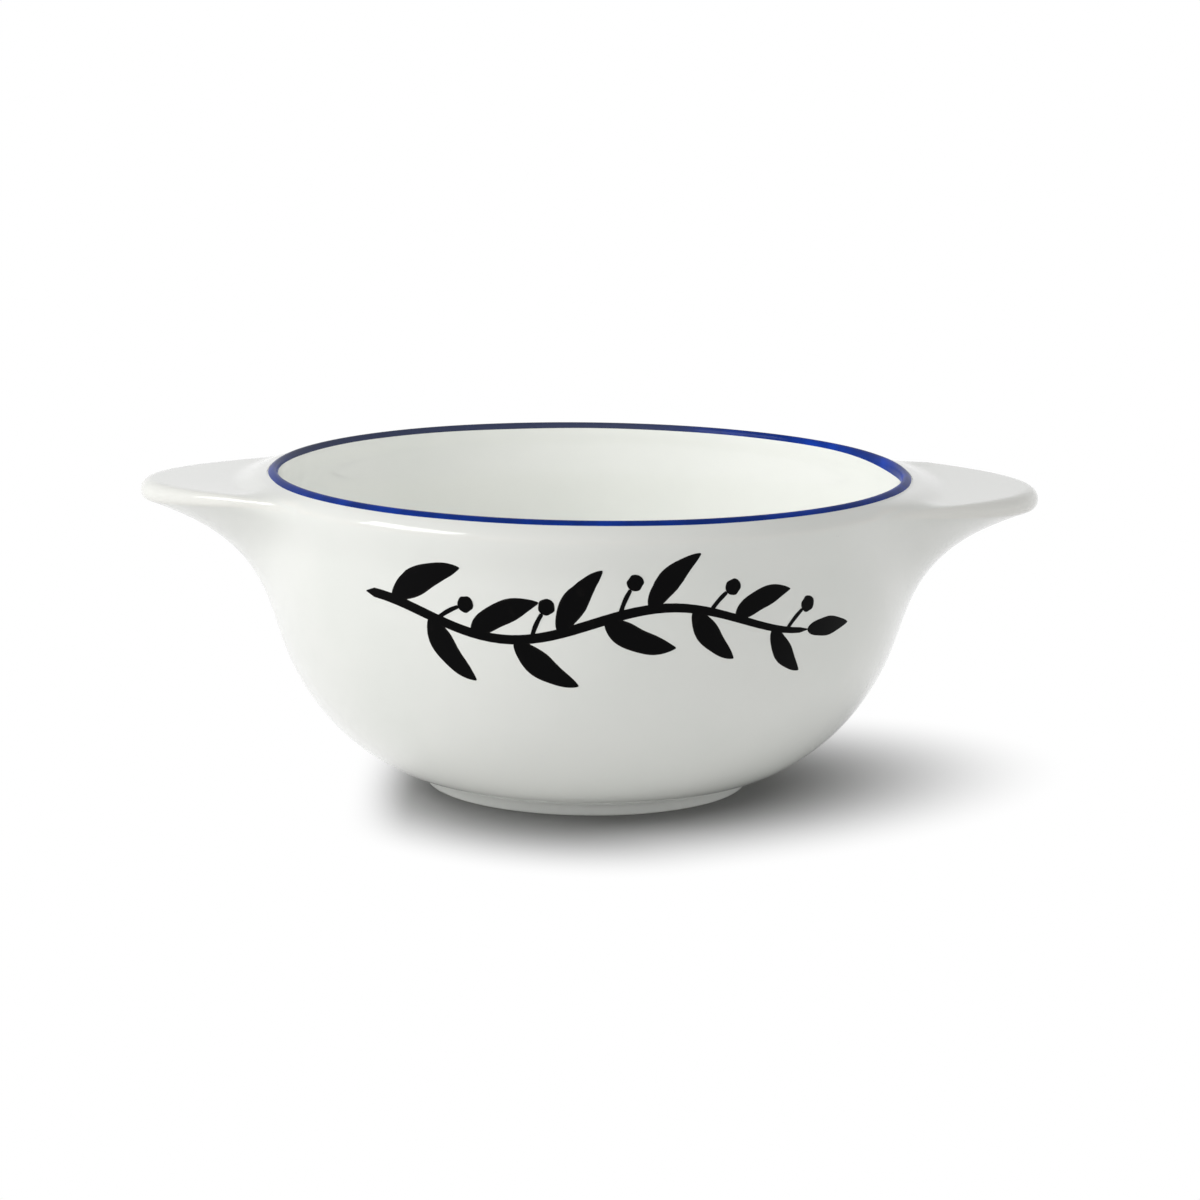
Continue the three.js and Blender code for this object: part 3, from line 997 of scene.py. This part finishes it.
def white_glaze():
    """White with clouds, then thin where it bends out, pooled where it bends in, and specks over all."""
    material, start = new_finish("white_glaze")
    place = place_on(start)
    bent = mark_on(start, "bend")
    cloud = noise(place, **CLOUDS)
    colour = cloud.rise(*CLOUD_RISE).paint(GLAZE_WHITE, GLAZE_CLOUD)
    colour = bent.rise(*THIN_RISE).paint(colour, GLAZE_THIN)
    colour = (0.0 - bent).rise(*POOL_RISE).paint(colour, GLAZE_POOL)
    cells = {"Vector": place, "Scale": SPECK_SCALE}
    distance = start.node("ShaderNodeTexVoronoi", {}, cells, "Distance")
    lot = start.node("ShaderNodeTexVoronoi", {}, cells, "Color")
    chance = start.node("ShaderNodeSeparateColor", {}, {"Color": lot}, "Red")
    speck = (1.0 - distance.rise(*SPECK_RISE)) * chance.rise(*SPECK_CHANCE)
    colour = (speck * SPECK_STAIN).paint(colour, IRON_SPECK)
    bump = bumped(noise(place, **GLAZE_RIPPLE) - speck * SPECK_PIT, **GLAZE_BUMP)
    rough = GLAZE_ROUGH + cloud * CLOUD_ROUGH
    finish_surface(start, {"Base Color": colour, "Roughness": rough, "Normal": bump, **GLASS})
    return material


glaze = white_glaze()
for piece in (bowl, right_ear, left_ear):
    piece.data.materials.append(glaze)
print("white glaze on bowl and ears")

# %% [markdown]
# Foot: glazed sides, bare face
# The same glaze covers the sides of the ring, and there its white is painted a darker grey: a painted
# shade for the shadow under the belly. On the resting face it is wiped away, and the fired clay shows:
# matt, warm and grainy, with a ragged edge where the sponge stopped.
# The height over the table, made uneven by noise, tells the two apart.

# %% Foot: glazed sides, bare face
# Painted shade: the ring's glaze is set greyer than the bowl's white for the shadow under the belly.
FOOT_SHADE_GREY = (0.66, 0.67, 0.645, 1.0)
FOOT_SHADE_CLOUD = (0.63, 0.645, 0.62, 1.0)
BARE_CLAY = (0.60, 0.53, 0.44, 1.0)
CLAY_GRAIN = (0.50, 0.42, 0.33, 1.0)
RAGGED_EDGE = {"scale": 420.0, "detail": 3.0}
RAGGED_HEIGHT = 0.00008
GLAZED_RISE = (0.00006, 0.0001)
GRAIN = {"scale": 1500.0, "detail": 4.0}
GRAIN_RISE = (0.4, 0.7)
GRAIN_BUMP = {"strength": 0.5, "distance": 0.0001}
CLAY_ROUGH, GLAZE_SMOOTHS = 0.85, 0.5


def foot_glaze():
    """Grainy clay where the height is almost 0, and cloudy glaze in painted grey shade above a ragged
    edge.
    """
    material, start = new_finish("foot_glaze")
    place = place_on(start)
    height = place.axis("Z") + noise(place, **RAGGED_EDGE) * RAGGED_HEIGHT
    glazed = height.rise(*GLAZED_RISE)
    grain = noise(place, **GRAIN)
    clay = grain.rise(*GRAIN_RISE).paint(BARE_CLAY, CLAY_GRAIN)
    # Painted shade: the ring's glaze colour in shaded greys.
    white = noise(place, **CLOUDS).rise(*CLOUD_RISE).paint(FOOT_SHADE_GREY, FOOT_SHADE_CLOUD)
    bump = bumped(grain * (1.0 - glazed), **GRAIN_BUMP)
    sockets = {"Base Color": glazed.paint(clay, white), "Normal": bump, **GLASS}
    sockets.update({"Roughness": CLAY_ROUGH - glazed * GLAZE_SMOOTHS, "Coat Weight": glazed})
    finish_surface(start, sockets)
    return material


foot.data.materials.append(foot_glaze())
print("foot glazed, resting face bare")

# %% [markdown]
# Cobalt
# Cobalt is dark where the brush left much of it and a clear blue where it left little. So the colour
# follows the thickness across the line, and a streaky noise along it. Round the back, which faces away
# from the lamp, it is painted a dark slate tone, a painted shade. It has soaked up most of the glaze over
# it, so its gloss is faint.

# %% Cobalt
COBALT_DEEP = (0.002, 0.024, 0.20, 1.0)
COBALT_CLEAR = (0.003, 0.042, 0.38, 1.0)
COBALT_EDGE = (0.02, 0.09, 0.42, 1.0)
# Slate of the painted shade round the back.
COBALT_BACK_SHADE = (0.046, 0.056, 0.110, 1.0)
COBALT_STREAK = {"scale": 95.0, "detail": 4.0}
STREAK_RISE = (0.4, 0.72)
THICK_RISE = (0.1, 0.5)
PAINT_RIPPLE = {"scale": 160.0, "detail": 2.0}
PAINT_BUMP = {"strength": 0.3, "distance": 0.0001}
COBALT_ROUGH, STREAK_ROUGH = 0.28, 0.1
FAINT = {"IOR": 1.5, "Specular IOR Level": 0.02, "Coat Weight": 0.09, "Coat Roughness": 0.08}


def cobalt():
    """Deep and clear blue in streaks, a paler blue where the paint is thin, and slate painted shade at the
    back.
    """
    material, start = new_finish("cobalt")
    place = place_on(start)
    streak = noise(place, **COBALT_STREAK)
    colour = streak.rise(*STREAK_RISE).paint(COBALT_DEEP, COBALT_CLEAR)
    colour = (1.0 - mark_on(start, "thick").rise(*THICK_RISE)).paint(colour, COBALT_EDGE)
    # Slate towards the back: painted shade.
    colour = mark_on(start, "painted_back_shade").paint(colour, COBALT_BACK_SHADE)
    bump = bumped(noise(place, **PAINT_RIPPLE), **PAINT_BUMP)
    rough = COBALT_ROUGH + streak * STREAK_ROUGH
    finish_surface(start, {"Base Color": colour, "Roughness": rough, "Normal": bump, **FAINT})
    return material


painted_line.data.materials.append(cobalt())
print("cobalt on the painted line")

# %% [markdown]
# Black brushwork
# The black is a stain of iron and manganese, thick enough to hide the white and the gloss of the glaze.
# Where the brush ran thin, at the rims of a stroke and in dry streaks, it turns a shade browner.

# %% Black brushwork
BLACK_DEEP = (0.0012, 0.0012, 0.0014, 1.0)
BLACK_THIN = (0.012, 0.010, 0.009, 1.0)
DRY_STREAK = {"scale": 260.0, "detail": 4.0}
DRY_RISE = (0.6, 0.8)
DRY_SHARE = 0.35
RIM_RISE = (0.2, 0.8)
BLACK_ROUGH, DRY_ROUGH = 0.30, 0.12
DULL = {"IOR": 1.5, "Specular IOR Level": 0.05}


def black_stain():
    """Black, and browner where the stroke is thin or the noise leaves a dry streak."""
    material, start = new_finish("black_stain")
    place = place_on(start)
    streak = noise(place, **DRY_STREAK)
    thin = (1.0 - mark_on(start, "thick").rise(*RIM_RISE)) + streak.rise(*DRY_RISE) * DRY_SHARE
    colour = thin.clamped().paint(BLACK_DEEP, BLACK_THIN)
    bump = bumped(noise(place, **PAINT_RIPPLE), **PAINT_BUMP)
    rough = BLACK_ROUGH + streak * DRY_ROUGH
    finish_surface(start, {"Base Color": colour, "Roughness": rough, "Normal": bump, **DULL})
    return material


sprig.data.materials.append(black_stain())
print("black stain on the sprig")

# %% [markdown]
# The floor
# The bowl stands on white studio paper, which takes its shadow. To the camera and in reflections the paper
# is painted dark grey inside an oval round the bowl, a painted shadow over the real one, and beyond the
# oval it fades into plain white. The oval is shorter at the left, under the lamp, and its painted shadow
# stops a little beyond the foot there. Numbers are in metres.

# %% The floor
FLOOR_HALF = 8.0
PLAIN_WHITE = (1.0, 1.0, 1.0, 1.0)
FLOOR_WHITE = (0.95, 0.95, 0.95, 1.0)
# Painted shadow: the dark grey that the camera sees on the paper inside the oval.
PAINTED_SHADOW_GREY = (0.275, 0.275, 0.275, 1.0)
SHADOW_TURN = (0.0, 0.0, 0.47)
SHADOW_LEFT, SHADOW_RIGHT, SHADOW_MIDDLE = -0.0147, -0.0052, -0.0098
REACH_LEFT, REACH_RIGHT, REACH_ACROSS = 0.0635, 0.1333, 0.0839
SHADOW_FADE = (0.284, 0.802)
SHADOW_END = (0.0334, 0.0477)


def seen_directly(start):
    """1 for the rays that show a surface to the camera, straight or in a mirror, and 0 for those that
    light it."""
    path = lambda name: start.node("ShaderNodeLightPath", {}, {}, name)
    return (path("Is Camera Ray") + path("Is Glossy Ray") + path("Is Transmission Ray")).clamped()


def floor_finish():
    """Paper painted dark grey inside the oval, a painted shadow for the camera and in reflections, and
    white beyond it. How far a point lies out is the root of along^2 + across^2, each in parts of the
    oval's reach on that side."""
    material, start = new_finish("studio_floor")
    place = place_on(start)
    sockets = {"Vector": place, "Rotation": SHADOW_TURN}
    oval_place = start.node("ShaderNodeMapping", {"vector_type": "TEXTURE"}, sockets)
    x, y = oval_place.axis("X"), oval_place.axis("Y")
    right = (x - SHADOW_RIGHT) * (1.0 / REACH_RIGHT)
    left = (SHADOW_LEFT - x) * (1.0 / REACH_LEFT)
    along = start.maths("MAXIMUM", start.maths("MAXIMUM", right, left), 0.0)
    across = (y - SHADOW_MIDDLE) * (1.0 / REACH_ACROSS)
    far = start.maths("POWER", along * along + across * across, 0.5)
    left_of_foot = 0.0 - place.axis("X")
    # Inside the oval the paper seen is painted dark grey, a painted shadow over the real one.
    painted_shadow = (1.0 - far.rise(*SHADOW_FADE)) * (1.0 - left_of_foot.rise(*SHADOW_END))
    seen = seen_directly(start)
    fade = (1.0 - painted_shadow) * seen
    paper_with_painted_shadow = seen.paint(FLOOR_WHITE, PAINTED_SHADOW_GREY)
    paper = start.node("ShaderNodeBsdfDiffuse", {}, {"Color": paper_with_painted_shadow})
    white = start.node("ShaderNodeEmission", {}, {"Color": PLAIN_WHITE, "Strength": 1.0})
    surface = start.node("ShaderNodeMixShader", {}, {0: fade, 1: paper, 2: white})
    start.node("ShaderNodeOutputMaterial", {}, {"Surface": surface})
    return material


def make_floor():
    """A square of paper at height 0."""
    mesh = bpy.data.meshes.new("studio_floor")
    h = FLOOR_HALF
    sheet_corners = [(-h, -h, 0.0), (h, -h, 0.0), (h, h, 0.0), (-h, h, 0.0)]
    mesh.from_pydata(sheet_corners, [], [(0, 1, 2, 3)])
    floor = bpy.data.objects.new("studio_floor", mesh)
    bpy.context.scene.collection.objects.link(floor)
    floor.data.materials.append(floor_finish())


make_floor()
print(f"floor {2.0 * FLOOR_HALF:.0f} m wide")

# %% [markdown]
# Light
# A wide soft lamp high at the left lights the bowl, with a white sky that is brightest near the horizon,
# as in a studio with white walls. A sky alone leaves the hollow of the bowl too dark, so a weak fill
# stands in the mouth for the light that the room sends down.

# %% Light
SKY_LOW = 1.22
SKY_HIGH = 0.08
KEY_PLACE = (-0.84, -0.36, 0.57)
KEY_SIZE = (0.68, 0.38)
KEY_WATTS = 4.7
FILL_PLACE = (0.010, -0.004, 0.048)
FILL_RADIUS = 0.02
FILL_WATTS = 0.0255


def make_sky():
    """Light that goes from low to high by a smooth rise with the height, and plain white where it is
    seen."""
    world = bpy.data.worlds.new("studio_sky")
    world.use_nodes = True
    world.node_tree.nodes.clear()
    start = Wire(world.node_tree)
    up = start.node("ShaderNodeTexCoord", {}, {}, "Generated").axis("Z")
    light = SKY_LOW + up.rise(0.0, 1.0) * (SKY_HIGH - SKY_LOW)
    strength = light + seen_directly(start) * (1.0 - light)
    sky = start.node("ShaderNodeBackground", {}, {"Color": PLAIN_WHITE, "Strength": strength})
    start.node("ShaderNodeOutputWorld", {}, {"Surface": sky})
    bpy.context.scene.world = world


def look_at(place, target):
    """Turn that points a lamp's -Z from its place to a target."""
    from_target = np.array(place) - np.array(target)
    back = from_target / np.linalg.norm(from_target)
    right = np.cross([0.0, 0.0, 1.0], back)
    right /= np.linalg.norm(right)
    turn = np.eye(4)
    turn[:3, :3] = np.stack([right, np.cross(back, right), back], -1)
    turn[:3, 3] = place
    return Matrix(turn.tolist())


def soft_lamp(name, place, size, watts):
    """A lamp, so wide and so high, that points at the middle of the bowl."""
    data = bpy.data.lights.new(name, "AREA")
    data.shape = "RECTANGLE"
    data.size, data.size_y = size
    data.energy = watts
    lamp = bpy.data.objects.new(name, data)
    lamp.matrix_world = look_at(place, (0.0, 0.0, CREST_LEVEL * MM / 2.0))
    bpy.context.scene.collection.objects.link(lamp)


def fill_lamp(name, place, radius, watts):
    """A round lamp that shows to no camera and in no mirror."""
    data = bpy.data.lights.new(name, "POINT")
    data.shadow_soft_size = radius
    data.energy = watts
    lamp = bpy.data.objects.new(name, data)
    lamp.location = place
    lamp.visible_camera = False
    lamp.visible_glossy = False
    bpy.context.scene.collection.objects.link(lamp)


make_sky()
soft_lamp("left_softbox", KEY_PLACE, KEY_SIZE, KEY_WATTS)
fill_lamp("mouth_fill", FILL_PLACE, FILL_RADIUS, FILL_WATTS)
print("sky and lamps made")

# %% [markdown]
# The camera
# The photograph was taken from a little above the rim with a long lens, so the bowl is seen almost
# without perspective. Pitch, roll and yaw were found by fitting the ellipses of the lip and foot.

# %% The camera
CAMERA_PLACE = (0.0, -0.760, 0.1826)
CAMERA_PITCH = -10.88
CAMERA_ROLL = 0.74
CAMERA_YAW = 0.177
FOCAL_PIXELS = 3866.0
FRAME_PIXELS = 1200.0
SENSOR = 36.0
CLIP_END = 50.0


def camera_matrix():
    """Forward from pitch and yaw, right square to it and level, then both turned by the roll."""
    pitch, roll, yaw = np.radians([CAMERA_PITCH, CAMERA_ROLL, CAMERA_YAW])
    flat_way = np.array([np.sin(yaw), np.cos(yaw), 0.0])
    forward = np.cos(pitch) * flat_way + np.array([0.0, 0.0, np.sin(pitch)])
    level = np.array([np.cos(yaw), -np.sin(yaw), 0.0])
    above = np.cross(level, forward)
    right = np.cos(roll) * level + np.sin(roll) * above
    up = np.cos(roll) * above - np.sin(roll) * level
    turn = np.eye(4)
    turn[:3, :3] = np.stack([right, up, -forward], -1)
    turn[:3, 3] = CAMERA_PLACE
    return Matrix(turn.tolist())


lens = bpy.data.cameras.new("camera")
lens.sensor_width = SENSOR
lens.lens = SENSOR * FOCAL_PIXELS / FRAME_PIXELS
lens.clip_end = CLIP_END
camera = bpy.data.objects.new("camera", lens)
camera.matrix_world = camera_matrix()
bpy.context.scene.collection.objects.link(camera)
bpy.context.scene.camera = camera
bpy.context.scene.view_settings.view_transform = "Standard"
print(f"camera lens {lens.lens:.1f} mm")
